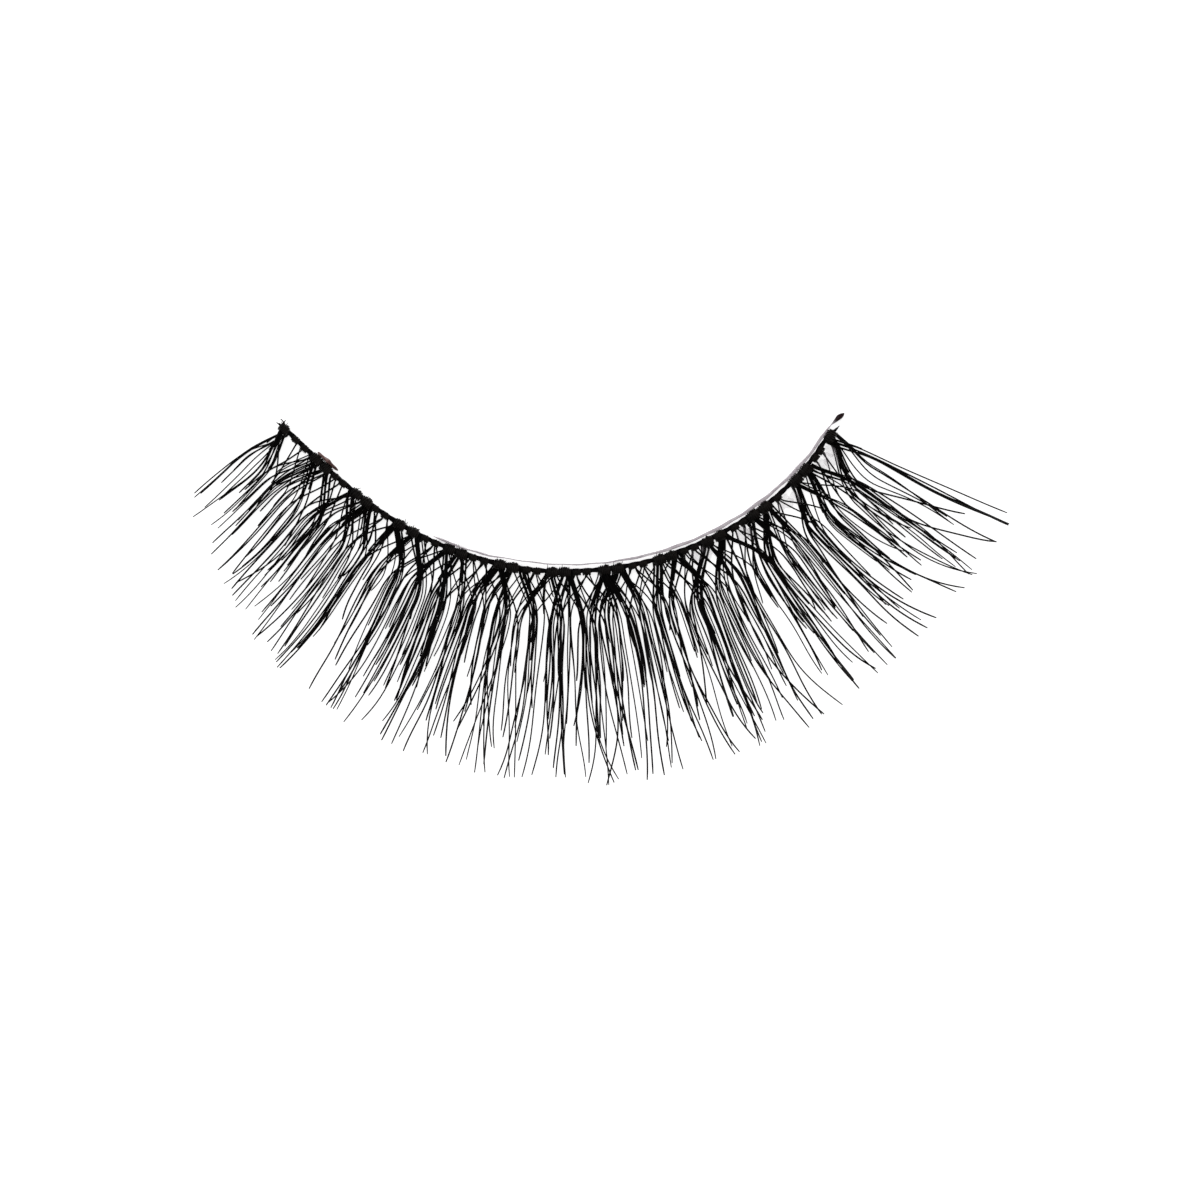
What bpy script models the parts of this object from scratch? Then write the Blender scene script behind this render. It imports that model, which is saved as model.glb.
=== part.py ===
# A strip of false eyelashes: a curved cord, thirteen knotted clusters of lash fibre that
# fan out from its convex side, and the clear adhesive along its concave side.
# It lies flat as on a table, convex side towards -Y, with the lashes curling up.

import math

import bpy
import numpy as np
from mathutils import Vector

MM = 0.001

# The cord
BAND_LENGTH = 33.0 * MM          # between the centres of the two end knots
THREAD_DIAMETER = 0.28 * MM
THREAD_TAIL = 0.72 * MM          # cord past the centre of each end knot
THREAD_TAIL_TIP = 0.10 * MM      # the cord's diameter at the ends of its tails

# The knots
KNOT_WALL = 0.15 * MM            # of wound fibre round the bore
DOUBLE_KNOT_LENGTH = 1.44 * MM
END_KNOT_LENGTH = 0.78 * MM
KNOT_SPACING = 0.68 * MM         # between the two halves of a double knot
KNOT_CLEARANCE = 0.04 * MM       # between the cord and a knot's bore

# The lashes
LASH_LENGTH = 12.1 * MM          # the longest lash, along its curl
FAN_REACH = 2.2 * MM             # how far out of its knot a lock runs slantwise
CURL_RADIUS = 11.0 * MM
LOCK_WIDTH = 0.27 * MM
LOCK_THICKNESS = 0.14 * MM
LOCK_TIP_WIDTH = 0.06 * MM
LAYER_GAP = 0.08 * MM            # between locks that cross

# The adhesive
FILM_THICKNESS = 0.10 * MM
FILM_HEIGHT = 0.50 * MM
FILM_TAIL = 1.35 * MM            # film past the centre of the last knot
FILM_TAIL_LEAN = 0.32 * MM       # how far that tail leans towards the cord's line
FILM_CLEARANCE = 0.03 * MM       # between the adhesive and the knots
DAB_LENGTH = 1.30 * MM
DAB_THICKNESS = 0.20 * MM
DAB_HEIGHT = 0.44 * MM

# Fineness of the faceted solids
THREAD_SIDES = 8
THREAD_SECTIONS = 44
KNOT_SIDES = 10
DAB_SIDES = 8
FILM_SECTIONS = 18
PATH_STEPS = 600

# The cord's direction in plan: share of the band length, heading in degrees
BAND_HEADINGS = (
    (0.00, -44.0),
    (0.08, -43.0),
    (0.17, -37.5),
    (0.25, -29.6),
    (0.33, -20.7),
    (0.42, -11.5),
    (0.50, -2.2),
    (0.58, 7.2),
    (0.67, 16.6),
    (0.75, 25.8),
    (0.83, 35.0),
    (0.92, 45.8),
    (1.00, 61.0),
)

# How long the lashes are along the band: share of the band length, share of LASH_LENGTH
LENGTH_PROFILE = (
    (-0.03, 0.46),
    (0.00, 0.53),
    (0.05, 0.60),
    (0.10, 0.68),
    (0.16, 0.78),
    (0.25, 0.86),
    (0.33, 0.93),
    (0.44, 0.99),
    (0.59, 1.00),
    (0.75, 0.99),
    (0.85, 0.93),
    (0.92, 0.90),
    (1.03, 0.91),
)

# The clusters: kind, place as a share of the band length, and how wide the left-going and
# the right-going locks fan, as shares of the travel in the tables of locks
CLUSTERS = (
    ("left_end", 0.000, 1.00, 1.00),
    ("double", 0.081, 0.95, 1.00),
    ("double", 0.162, 0.90, 1.10),
    ("double", 0.249, 0.90, 1.00),
    ("double", 0.334, 1.05, 0.95),
    ("double", 0.420, 1.10, 0.95),
    ("double", 0.501, 1.00, 1.00),
    ("double", 0.584, 1.05, 1.05),
    ("double", 0.673, 1.05, 0.95),
    ("double", 0.754, 1.00, 0.95),
    ("double", 0.838, 1.05, 0.95),
    ("double", 0.924, 1.05, 0.90),
    ("right_end", 1.000, 1.00, 1.00),
)

# The locks of each kind of cluster: the side it goes to (-1 left, 1 right), where it leaves
# the knot as a share of KNOT_SPACING / 2, its sideways travel and the drift of its tip as
# shares of the distance between clusters, its length and its width as shares of the full ones
LOCKS = {
    "left_end": (
        (-1, -0.5, 0.28, -0.08, 1.00, 0.90),
        (-1, 0.0, 0.16, -0.06, 0.95, 0.80),
        (-1, 0.6, 0.05, -0.03, 0.98, 0.90),
        (1, -0.6, 0.14, -0.10, 1.00, 1.00),
        (1, 0.0, 0.26, -0.06, 0.86, 0.80),
        (1, 0.6, 0.37, -0.06, 0.95, 0.90),
    ),
    "double": (
        (-1, -1.25, 0.38, 0.03, 0.99, 1.00),
        (-1, -0.65, 0.24, -0.03, 0.93, 0.90),
        (-1, 0.75, 0.30, 0.04, 1.00, 0.90),
        (-1, 1.30, 0.19, -0.02, 0.92, 1.00),
        (1, 1.25, 0.38, -0.03, 1.00, 1.00),
        (1, 0.65, 0.24, 0.03, 0.95, 0.90),
        (1, -0.75, 0.30, -0.04, 0.97, 0.90),
        (1, -1.30, 0.19, 0.02, 1.00, 1.00),
    ),
    "right_end": (
        (-1, -0.8, 0.52, 0.05, 1.00, 1.00),
        (-1, -0.2, 0.42, 0.06, 0.97, 1.00),
        (-1, 0.4, 0.32, 0.12, 0.98, 0.90),
        (1, -0.6, 0.05, 0.02, 0.82, 0.90),
        (1, 0.1, 0.05, 0.10, 1.00, 1.10),
        (1, 0.7, 0.06, 0.24, 0.96, 0.80),
    ),
}

# Sections of a lock: share of its length, share of its full width
LOCK_SECTIONS = (
    (0.00, 0.60),
    (0.07, 0.85),
    (0.15, 1.00),
    (0.25, 1.00),
    (0.42, 0.88),
    (0.60, 0.70),
    (0.80, 0.45),
)

# The outside of a knot: place as a share of its length, radius as a share of its own
DOUBLE_KNOT_PROFILE = (
    (-0.50, 0.70),
    (-0.44, 0.90),
    (-0.30, 1.00),
    (-0.14, 0.93),
    (0.00, 0.82),
    (0.14, 0.93),
    (0.30, 1.00),
    (0.44, 0.90),
    (0.50, 0.70),
)
END_KNOT_PROFILE = (
    (-0.50, 0.70),
    (-0.36, 0.93),
    (0.00, 1.00),
    (0.36, 0.93),
    (0.50, 0.70),
)

FILM_START = 0.29                # share of the band length
DAB_PLACE = 0.083                # share of the band length
DAB_PROFILE = ((0.08, 0.55), (0.28, 0.95), (0.55, 1.00), (0.82, 0.70), (0.95, 0.35))

# Each kind of cluster's knot
KNOTS = {
    "left_end": (END_KNOT_LENGTH, END_KNOT_PROFILE),
    "double": (DOUBLE_KNOT_LENGTH, DOUBLE_KNOT_PROFILE),
    "right_end": (END_KNOT_LENGTH, END_KNOT_PROFILE),
}

# Worked out from the sizes above
BORE_RADIUS = THREAD_DIAMETER / 2 + KNOT_CLEARANCE
KNOT_RADIUS = BORE_RADIUS + KNOT_WALL
CORD_HEIGHT = KNOT_RADIUS
CLUSTER_PITCH = BAND_LENGTH / (len(CLUSTERS) - 1)
LAYER_STEP = LOCK_THICKNESS + LAYER_GAP
ROOT_OUT = BORE_RADIUS + KNOT_WALL / 2
ROOT_DROP = CORD_HEIGHT - LAYER_STEP / 2 - LOCK_THICKNESS / 2
LOW_POINT = ROOT_OUT + math.sqrt(2 * CURL_RADIUS * ROOT_DROP - ROOT_DROP * ROOT_DROP)


def band_course():
    """Distances along the cord with the plan position and heading at each.

    The headings are integrated, and run on straight past both ends."""
    margin = LASH_LENGTH
    along = np.linspace(-margin, BAND_LENGTH + margin, PATH_STEPS)
    shares, degrees = np.array(BAND_HEADINGS).T
    heading = np.radians(np.interp(along / BAND_LENGTH, shares, degrees))
    step = along[1] - along[0]
    middle = (heading[1:] + heading[:-1]) / 2
    x = np.concatenate(([0.0], np.cumsum(np.cos(middle) * step)))
    y = np.concatenate(([0.0], np.cumsum(np.sin(middle) * step)))
    return along, x, y, heading


COURSE = band_course()


def heading_at(distance):
    """The cord's heading at a distance along it."""
    return float(np.interp(distance, COURSE[0], COURSE[3]))


def place(distance, out, height):
    """The point at a distance along the cord, out from it on the convex side, and up."""
    heading = heading_at(distance)
    x = np.interp(distance, COURSE[0], COURSE[1]) + out * math.sin(heading)
    y = np.interp(distance, COURSE[0], COURSE[2]) - out * math.cos(heading)
    return Vector((x, y, height))


def skin(name, rings, start_point=None, end_point=None, ring_loop=False):
    """A closed mesh over rings of equal count.

    It ends in points, flat caps, or joins up where ring_loop is set."""
    count = len(rings[0])
    vertices = [point for ring in rings for point in ring]
    faces = []
    for row in range(len(rings) if ring_loop else len(rings) - 1):
        here = row * count
        there = (row + 1) % len(rings) * count
        for i in range(count):
            j = (i + 1) % count
            faces.append((here + i, here + j, there + j, there + i))
    if not ring_loop:
        last = (len(rings) - 1) * count
        if start_point is None:
            faces.append(tuple(reversed(range(count))))
        else:
            vertices.append(start_point)
            tip = len(vertices) - 1
            faces.extend((tip, (i + 1) % count, i) for i in range(count))
        if end_point is None:
            faces.append(tuple(last + i for i in range(count)))
        else:
            vertices.append(end_point)
            tip = len(vertices) - 1
            faces.extend((last + i, last + (i + 1) % count, tip) for i in range(count))
    mesh = bpy.data.meshes.new(name)
    mesh.from_pydata([tuple(v) for v in vertices], [], faces)
    mesh.validate()
    mesh.shade_smooth()
    mesh.set_sharp_from_angle(angle=math.radians(40.0))
    item = bpy.data.objects.new(name, mesh)
    bpy.context.scene.collection.objects.link(item)
    return item


def oval(centre, ahead, width, height, sides, turn=0.0):
    """A ring of points round a centre, square to a direction, width lying level."""
    ahead = ahead.normalized()
    level = Vector((0.0, 0.0, 1.0)).cross(ahead).normalized()
    upright = ahead.cross(level)
    ring = []
    for i in range(sides):
        angle = turn + 2 * math.pi * i / sides
        across = level * math.cos(angle) * width / 2
        ring.append(centre + across + upright * math.sin(angle) * height / 2)
    return ring


def material(name, colour, roughness, alpha=1.0):
    """A plain finish."""
    finish = bpy.data.materials.new(name)
    finish.use_nodes = True
    shader = finish.node_tree.nodes["Principled BSDF"]
    shader.inputs["Base Color"].default_value = (*colour, 1.0)
    shader.inputs["Roughness"].default_value = roughness
    shader.inputs["Metallic"].default_value = 0.0
    shader.inputs["Alpha"].default_value = alpha
    return finish


def fuse(body, parts):
    """Unite parts with a body and take the parts away."""
    for part in parts:
        union = body.modifiers.new(part.name, "BOOLEAN")
        union.operation = "UNION"
        union.solver = "EXACT"
        union.object = part
    bpy.context.view_layer.update()
    shape = body.evaluated_get(bpy.context.evaluated_depsgraph_get())
    mesh = bpy.data.meshes.new_from_object(shape)
    body.modifiers.clear()
    body.data = mesh
    for part in parts:
        bpy.data.objects.remove(part)


def thread():
    """The cord: a tube along the whole band, tapered to its two tails."""
    start = -THREAD_TAIL
    end = BAND_LENGTH + THREAD_TAIL
    end_knot = END_KNOT_LENGTH / 2
    rings = []
    for distance in np.linspace(start, end, THREAD_SECTIONS):
        past = max(-distance, distance - BAND_LENGTH, end_knot) - end_knot
        taper = past / (THREAD_TAIL - end_knot)
        diameter = THREAD_DIAMETER + (THREAD_TAIL_TIP - THREAD_DIAMETER) * taper
        heading = heading_at(distance)
        ahead = Vector((math.cos(heading), math.sin(heading), 0.0))
        centre = place(distance, 0.0, CORD_HEIGHT)
        rings.append(oval(centre, ahead, diameter, diameter, THREAD_SIDES))
    return skin("band_thread", rings)


def knot(name, distance, length, profile):
    """A knot: a ridged barrel round the cord with a straight bore."""
    heading = heading_at(distance)
    ahead = Vector((math.cos(heading), math.sin(heading), 0.0))
    centre = place(distance, 0.0, CORD_HEIGHT)
    rings = []
    for share, radius in profile:
        spread = 2 * KNOT_RADIUS * radius
        rings.append(oval(centre + ahead * length * share, ahead, spread, spread, KNOT_SIDES))
    for share in (0.5, -0.5):
        bore = 2 * BORE_RADIUS
        rings.append(oval(centre + ahead * length * share, ahead, bore, bore, KNOT_SIDES))
    return skin(name, rings, ring_loop=True)


def length_at(distance):
    """How long the lashes are at a distance along the band."""
    shares, lengths = np.array(LENGTH_PROFILE).T
    return LASH_LENGTH * float(np.interp(distance / BAND_LENGTH, shares, lengths))


def curl(run, layer):
    """How far out and how high a lock's middle is after a run along it.

    A lock follows one circle: down from its knot, along the table and up to its tip."""
    root_angle = -math.asin((LOW_POINT - ROOT_OUT) / CURL_RADIUS)
    angle = root_angle + run / CURL_RADIUS
    out = LOW_POINT + CURL_RADIUS * math.sin(angle)
    rise = CURL_RADIUS * (1 - math.cos(angle))
    return out, LOCK_THICKNESS / 2 + rise + LAYER_STEP * layer


def lock(name, root, travel, drift, length, width, layer):
    """One lock: it runs slantwise from its root, turns outwards and tapers to a point."""

    def middle(share):
        out, height = curl(length * share, layer)
        slant = min((out - ROOT_OUT) / FAN_REACH, 1.0)
        along = root + travel * (2 * slant - slant * slant) + drift * share * share
        return place(along, out, height)

    rings = []
    look = 0.01
    for share, fullness in LOCK_SECTIONS:
        ahead = middle(share + look) - middle(max(share - look, 0.0))
        spread = LOCK_TIP_WIDTH + (width - LOCK_TIP_WIDTH) * fullness
        deep = LOCK_THICKNESS * (0.4 + 0.6 * fullness)
        rings.append(oval(middle(share), ahead, spread, deep, 4))
    return skin(name, rings, end_point=middle(1.0))


def cluster(number, row):
    """A knot with its locks fused to it."""
    kind, share, left_fan, right_fan = row
    name = f"lash_cluster_{number:02d}"
    distance = BAND_LENGTH * share
    length, profile = KNOTS[kind]
    body = knot(name, distance, length, profile)
    locks = []
    for index, (side, leave, travel, drift, reach, width) in enumerate(LOCKS[kind]):
        fan = left_fan if side < 0 else right_fan
        root = distance + leave * KNOT_SPACING / 2
        sideways = side * travel * fan * CLUSTER_PITCH
        locks.append(lock(
            f"{name}_lock_{index}",
            root,
            sideways,
            drift * CLUSTER_PITCH,
            length_at(root + sideways) * reach,
            LOCK_WIDTH * width,
            layer=(side + 1) // 2,
        ))
    fuse(body, locks)
    return body


def film():
    """The adhesive film: a thin ribbon on edge along the concave side of the knots."""
    start = BAND_LENGTH * FILM_START
    end = BAND_LENGTH + FILM_TAIL
    beside = KNOT_RADIUS + FILM_CLEARANCE + FILM_THICKNESS / 2
    rings = []
    for distance in np.linspace(start, end, FILM_SECTIONS):
        past = max(distance - BAND_LENGTH, 0.0) / FILM_TAIL
        out = FILM_TAIL_LEAN * past * past - beside
        heading = heading_at(distance)
        ahead = Vector((math.cos(heading), math.sin(heading), 0.0))
        across = FILM_THICKNESS * math.sqrt(2)
        upright = FILM_HEIGHT * math.sqrt(2)
        centre = place(distance, out, CORD_HEIGHT)
        rings.append(oval(centre, ahead, across, upright, 4, turn=math.pi / 4))
    return skin("adhesive_film", rings)


def dab():
    """The adhesive dab: a small rounded lump against the second knot's concave side."""
    start = BAND_LENGTH * DAB_PLACE - DAB_LENGTH / 2
    beside = KNOT_RADIUS + FILM_CLEARANCE + DAB_THICKNESS / 2
    rings = []
    for share, fullness in DAB_PROFILE:
        distance = start + DAB_LENGTH * share
        heading = heading_at(distance)
        ahead = Vector((math.cos(heading), math.sin(heading), 0.0))
        centre = place(distance, -beside, CORD_HEIGHT)
        across = DAB_THICKNESS * fullness
        rings.append(oval(centre, ahead, across, DAB_HEIGHT * fullness, DAB_SIDES))
    first = place(start, -beside, CORD_HEIGHT)
    last = place(start + DAB_LENGTH, -beside, CORD_HEIGHT)
    return skin("adhesive_dab", rings, first, last)


def finish_with(item, finish):
    """Give an object its one material."""
    item.data.materials.clear()
    item.data.materials.append(finish)


def stand_on_origin(items):
    """Put the whole strip under one empty, its box's bottom centre at the origin."""
    corners = np.array([
        tuple(item.matrix_world @ vertex.co) for item in items for vertex in item.data.vertices
    ])
    low = corners.min(axis=0)
    high = corners.max(axis=0)
    centre = (low + high) / 2
    frame = bpy.data.objects.new("strip_origin", None)
    bpy.context.scene.collection.objects.link(frame)
    for item in items:
        item.parent = frame
    frame.location = (-centre[0], -centre[1], -low[2])


def main():
    for item in list(bpy.data.objects):
        bpy.data.objects.remove(item)
    fibre = material("lash_fibre_black", (0.012, 0.011, 0.012), 0.42)
    cotton = material("cord_black", (0.010, 0.010, 0.011), 0.70)
    clear = material("adhesive_clear", (0.66, 0.61, 0.67), 0.30, alpha=0.6)
    brown = material("adhesive_brown", (0.16, 0.09, 0.07), 0.45)
    cord = thread()
    finish_with(cord, cotton)
    skin_line = film()
    finish_with(skin_line, clear)
    lump = dab()
    finish_with(lump, brown)
    items = [cord, skin_line, lump]
    for number, row in enumerate(CLUSTERS, start=1):
        body = cluster(number, row)
        finish_with(body, fibre)
        items.append(body)
    stand_on_origin(items)


main()
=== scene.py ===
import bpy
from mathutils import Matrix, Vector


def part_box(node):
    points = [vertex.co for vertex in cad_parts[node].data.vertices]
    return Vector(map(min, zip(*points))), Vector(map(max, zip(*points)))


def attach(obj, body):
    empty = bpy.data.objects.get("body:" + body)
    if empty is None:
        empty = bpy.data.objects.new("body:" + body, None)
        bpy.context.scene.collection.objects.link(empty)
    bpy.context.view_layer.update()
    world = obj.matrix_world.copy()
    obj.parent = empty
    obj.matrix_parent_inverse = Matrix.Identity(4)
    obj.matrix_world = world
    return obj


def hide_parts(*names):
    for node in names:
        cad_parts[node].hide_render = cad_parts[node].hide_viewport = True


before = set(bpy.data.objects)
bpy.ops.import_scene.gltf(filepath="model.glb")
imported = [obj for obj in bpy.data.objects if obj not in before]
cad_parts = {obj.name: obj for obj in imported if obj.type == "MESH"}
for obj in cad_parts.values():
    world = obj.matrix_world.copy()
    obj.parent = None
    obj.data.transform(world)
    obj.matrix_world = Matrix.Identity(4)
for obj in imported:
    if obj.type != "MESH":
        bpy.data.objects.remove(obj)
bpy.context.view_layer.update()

import bpy
import numpy as np

print("frame loaded")

mm = 0.001

# A false eyelash strip lying on white, seen from straight above. The cord's route and the curl are those of
# the CAD part. The hairs follow a chart, in steps along the cord, 634 to the band. Where a note
# says steps, it means these, along the cord or out from it.
strip = {
    "bandLength": 33.0 * mm,
    "chartSteps": 634,
    "cordDiameter": 0.28 * mm,
    "cordHeight": 0.33 * mm,
    "tailLength": 0.72 * mm,
    "tailTip": 0.10 * mm,
    "curlRadius": 11.0 * mm,
    "rootOut": 0.255 * mm,  # where a lash leaves its knot
    "rootDrop": 0.15 * mm,  # how far it sinks from there to its lowest point
    # steps along the cord, how far it lies out from the chart's line there
    "lean": ((-14, 0.0), (0, -0.5), (300, -0.5), (340, -1.5), (410, -1.5), (440, -2.2), (520, -2.2),
             (550, -1.7), (600, -2.7), (625, -2.7), (634, -1.0), (648, 3.0)),
    # share of the band length, heading of the cord in degrees
    "headings": ((0.00, -44.0), (0.08, -43.0), (0.17, -37.5), (0.25, -29.6), (0.33, -20.7), (0.42, -11.5),
                 (0.50, -2.2), (0.58, 7.2), (0.67, 16.6), (0.75, 25.8), (0.83, 35.0), (0.92, 45.8),
                 (1.00, 61.0)),
    "courseSpan": (-0.5, 1.5),  # of the band length, over which the route is worked out
    "courseSamples": 4001,
}
chartStep = strip["bandLength"] / strip["chartSteps"]
lowPoint = strip["rootOut"] + np.sqrt(2 * strip["curlRadius"] * strip["rootDrop"] - strip["rootDrop"] ** 2)

camera = {
    "aimX": 16.383 * mm,  # from the left end knot to the middle of the picture
    "aimY": -8.892 * mm,
    "lens": 250.0,  # mm, on a 36 mm sensor
    "sensor": 36.0,
    "pictureWidth": 62.3 * mm,  # at the height of the cord
    "nearest": 0.01,  # m, what the camera can still see
}
cameraDistance = camera["pictureWidth"] * camera["lens"] / camera["sensor"]


def tableAt(table, where):
    # A table of places and values, read at any place: straight lines between its rows.
    return np.interp(where, *np.array(table).T)


def cordCourse():
    # The headings, held straight past both ends, are added up step by step into a route in plan. The route is
    # then moved so that its left end and its lowest point lie in the CAD cord's box.
    length = strip["bandLength"]
    first, last = strip["courseSpan"]
    along = np.linspace(length * first, length * last, strip["courseSamples"])
    heading = np.radians(tableAt(strip["headings"], along / length))
    middle = (heading[1:] + heading[:-1]) / 2
    stride = along[1] - along[0]
    x = np.concatenate(([0.0], np.cumsum(np.cos(middle) * stride)))
    y = np.concatenate(([0.0], np.cumsum(np.sin(middle) * stride)))
    low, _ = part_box("band_thread")
    leftEnd = np.interp(-strip["tailLength"], along, x)
    tipSide = strip["tailTip"] / 2 * abs(np.sin(heading[0]))
    x += low.x + tipSide - leftEnd
    y += low.y + strip["cordDiameter"] / 2 - y.min()
    return along, x, y, heading


course = cordCourse()


def place(along, out, height):
    # The point at a distance along the cord, out from it on the lash side, and up: cord point plus out times
    # the direction square to the heading.
    heading = np.interp(along, course[0], course[3])
    x = np.interp(along, course[0], course[1]) + out * np.sin(heading)
    y = np.interp(along, course[0], course[2]) - out * np.cos(heading)
    return np.stack(np.broadcast_arrays(x, y, height), axis=-1)


def leanAt(along):
    # How far the cord lies out from the chart's line.
    return tableAt(strip["lean"], along / chartStep) * chartStep


leftKnot = place(0.0, 0.0, strip["cordHeight"])
aim = leftKnot + np.array([camera["aimX"], camera["aimY"], 0.0])


def seenThere(points):
    # The chart is of the picture, so a raised point moves towards the camera's axis by the share of the
    # camera's distance that it stands above the cord.
    rise = (points[..., 2:] - strip["cordHeight"]) / cameraDistance
    moved = points.copy()
    moved[..., :2] = aim[:2] + (points[..., :2] - aim[:2]) * (1 - rise)
    return moved


up = np.array([0.0, 0.0, 1.0])


def unit(vectors):
    return vectors / np.maximum(np.linalg.norm(vectors, axis=-1, keepdims=True), 1e-12)


def wrap(ring):
    # Points (strand, sample, side, xyz) become closed skins: a quad between neighbouring samples and sides,
    # and one face over each end.
    strands, samples, sides = ring.shape[:3]
    number = np.arange(strands * samples * sides).reshape(strands, samples, sides)
    here, there = number[:, :-1], number[:, 1:]
    quads = np.stack([here, np.roll(here, -1, axis=2), np.roll(there, -1, axis=2), there], axis=-1)
    ends = np.concatenate([number[:, 0, ::-1], number[:, -1]])
    return ring.reshape(-1, 3), quads.reshape(-1, 4), ends


def tubes(paths, thick, sides, reference):
    # Each path (strand, sample, xyz) carries a ring: centre plus cos(turn) times half the thickness along the
    # side direction plus sin(turn) times half the thickness along the third one.
    ahead = unit(np.gradient(paths, axis=1))
    level = unit(np.cross(reference, ahead))
    upright = np.cross(ahead, level)
    turn = np.linspace(0, 2 * np.pi, sides, endpoint=False)
    return wrap(paths[:, :, None]
                + level[:, :, None] * np.cos(turn)[:, None] * thick[:, :, None, None] / 2
                + upright[:, :, None] * np.sin(turn)[:, None] * thick[:, :, None, None] / 2)


class Skins:
    # Collects the skins of one piece, with each point's share along its strand and its strand's own tone.
    def __init__(self):
        self.points, self.quads, self.ends, self.share, self.tone, self.count = [], [], [], [], [], 0

    def add(self, skin, share, tone=0.5):
        points, quads, ends = skin
        self.quads.append(quads + self.count)
        self.ends.append(ends + self.count)
        self.points.append(points)
        self.share.append(np.ravel(share))
        self.tone.append(np.broadcast_to(tone, len(points)))
        self.count += len(points)

    def addTubes(self, paths, thick, sides, reference, tone):
        share = np.linspace(0, 1, paths.shape[1])[None, :, None] + np.zeros((len(paths), 1, sides))
        if np.ndim(tone):
            tone = np.repeat(tone, paths.shape[1] * sides)
        self.add(tubes(paths, thick, sides, reference), share, tone)

    def addSleeve(self, along, out, height, share, tone=0.5):
        # A ring of sides carried along the cord: out and height are (sample, side).
        ring = place(along[:, None], out, height)
        self.add(wrap(ring[None, :, ::-1]), np.repeat(share, ring.shape[1]), tone)

    def piece(self, name, material, node, slot):
        mesh = bpy.data.meshes.new(name)
        faces = np.concatenate(self.quads).tolist() + [face for ends in self.ends for face in ends.tolist()]
        mesh.from_pydata(np.concatenate(self.points).tolist(), [], faces)
        for label, values in (("share", self.share), ("tone", self.tone)):
            mesh.attributes.new(label, "FLOAT", "POINT").data.foreach_set("value", np.concatenate(values))
        mesh.materials.append(material)
        mesh.shade_smooth()
        mesh.update()
        thing = bpy.data.objects.new(name, mesh)
        bpy.context.scene.collection.objects.link(thing)
        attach(thing, "root")
        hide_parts(node)


# Shader nodes and groups

def feed(tree, socket, value):
    # A fixed value, or a link from another node's socket.
    if isinstance(value, bpy.types.NodeSocket):
        tree.links.new(value, socket)
    else:
        socket.default_value = value


def mathNode(tree, operation, first, second, clamp=False):
    node = tree.nodes.new("ShaderNodeMath")
    node.operation = operation
    node.use_clamp = clamp
    feed(tree, node.inputs[0], first)
    feed(tree, node.inputs[1], second)
    return node.outputs[0]


def mixColours(tree, factor, first, second):
    node = tree.nodes.new("ShaderNodeMix")
    node.data_type = "RGBA"
    for number, value in ((0, factor), (6, first), (7, second)):
        feed(tree, node.inputs[number], value)
    return node.outputs[2]


def rangeNode(tree, value, fromRange, toRange):
    node = tree.nodes.new("ShaderNodeMapRange")
    labels = ("Value", "From Min", "From Max", "To Min", "To Max")
    for label, given in zip(labels, (value,) + fromRange + toRange):
        feed(tree, node.inputs[label], given)
    return node.outputs["Result"]


def grainNode(tree, scale, detail):
    # A noise on the object's place.
    where = tree.nodes.new("ShaderNodeTexCoord")
    noise = tree.nodes.new("ShaderNodeTexNoise")
    feed(tree, noise.inputs["Vector"], where.outputs["Object"])
    feed(tree, noise.inputs["Scale"], scale)
    feed(tree, noise.inputs["Detail"], detail)
    return noise.outputs["Fac"]


def newGroup(name, inputs, outputs):
    group = bpy.data.node_groups.new(name, "ShaderNodeTree")
    for label, kind, value in inputs:
        socket = group.interface.new_socket(label, in_out="INPUT", socket_type="NodeSocket" + kind)
        socket.default_value = value
    for label, kind in outputs:
        group.interface.new_socket(label, in_out="OUTPUT", socket_type="NodeSocket" + kind)
    return group, group.nodes.new("NodeGroupInput").outputs, group.nodes.new("NodeGroupOutput").inputs


def newMaterial(name):
    material = bpy.data.materials.new(name)
    material.use_nodes = True
    return material, material.node_tree, material.node_tree.nodes["Principled BSDF"]


def groupMaterial(name, effect, values, strength, depth, gloss, rough=None):
    # A material fed by a group, which takes its share and tone from the attributes of the piece.
    material, tree, shader = newMaterial(name)
    group = tree.nodes.new("ShaderNodeGroup")
    group.node_tree = effect
    for label, value in values.items():
        group.inputs[label].default_value = value
    for label in ("Share", "Tone"):
        if label in group.inputs:
            attribute = tree.nodes.new("ShaderNodeAttribute")
            attribute.attribute_name = label.lower()
            tree.links.new(attribute.outputs["Fac"], group.inputs[label])
    feeds = [("Colour", "Base Color"), ("Opacity", "Alpha")]
    if rough is None:
        feeds.append(("Roughness", "Roughness"))
    else:
        shader.inputs["Roughness"].default_value = rough
    for label, socket in feeds:
        if label in group.outputs:
            tree.links.new(group.outputs[label], shader.inputs[socket])
    shader.inputs["Specular IOR Level"].default_value = gloss
    relief = tree.nodes.new("ShaderNodeBump")
    relief.inputs["Strength"].default_value = strength
    relief.inputs["Distance"].default_value = depth
    tree.links.new(group.outputs["Height"], relief.inputs["Height"])
    tree.links.new(relief.outputs["Normal"], shader.inputs["Normal"])
    return material


strandLook = {
    "grainDetail": 3.0,
    "roughness": 0.30,  # where it follows the grain, at the least
    "roughRange": 0.25,
    "reliefDepth": 0.02 * mm,
}

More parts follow.
